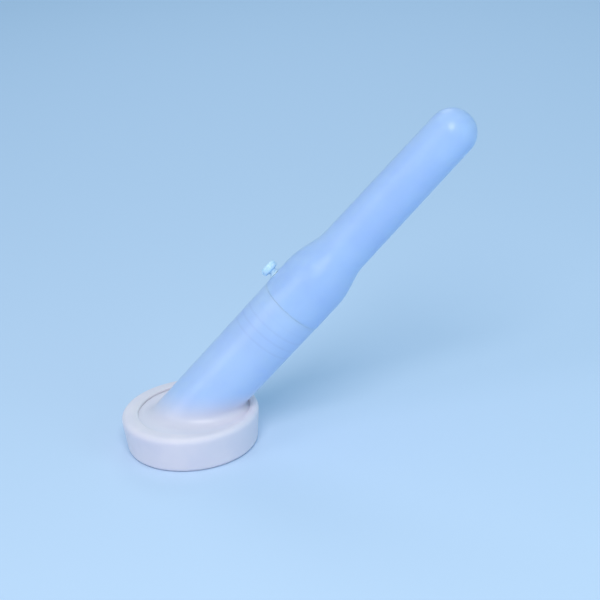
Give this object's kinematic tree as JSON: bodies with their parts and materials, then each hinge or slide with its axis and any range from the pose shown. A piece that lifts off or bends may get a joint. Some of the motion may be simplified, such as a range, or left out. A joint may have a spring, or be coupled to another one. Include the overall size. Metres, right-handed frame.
{
  "type": "fuel sampler cup",
  "caption": "Translucent fuel sampler: soft round mouth ring, slanted neck with a drain pin, and a screw-on closed collector tube.",
  "frame": {"origin": "centre of the open mouth, in the plane of the seal ring's lower face", "axes": "+Z out of the mouth plane into the body, +X towards the side that the collector tube leans to, +Y across"},
  "size_m": [0.1874, 0.07, 0.166],
  "materials": {
    "ring_white": "soft matte white, opaque",
    "milky_body": "translucent milky moulded plastic",
    "milky_tube": "translucent milky moulded plastic",
    "milky_stud": "translucent milky moulded plastic",
    "seal_black": "matte fuel-proof rubber",
    "carrier_white": "plain moulded plastic",
    "pin_brass": "turned brass"
  },
  "bodies": {
    "root": {"seal_ring": "ring_white", "mouth_body": "milky_body", "pin_carrier": "carrier_white", "drain_pin": "pin_brass"},
    "o_ring": {"joint_o_ring": "seal_black"},
    "collector": {"collector_tube": "milky_tube", "tether_stud": "milky_stud"}
  },
  "joints": [
    {"name": "tube_travel", "type": "slide", "parent": "root", "child": "o_ring", "axis": [0.712, 0, 0.7022], "range_m": [0, 0.0188]},
    {"name": "tube_unscrew", "type": "hinge", "parent": "o_ring", "child": "collector", "pos_m": [0.05604, 0, 0.07076], "axis": [0.712, 0, 0.7022], "range_deg": [0, 1350]}
  ],
  "couplings": [
    {"joint": "tube_travel", "follows": "tube_unscrew", "m_per_rad": 0.00079577}
  ]
}
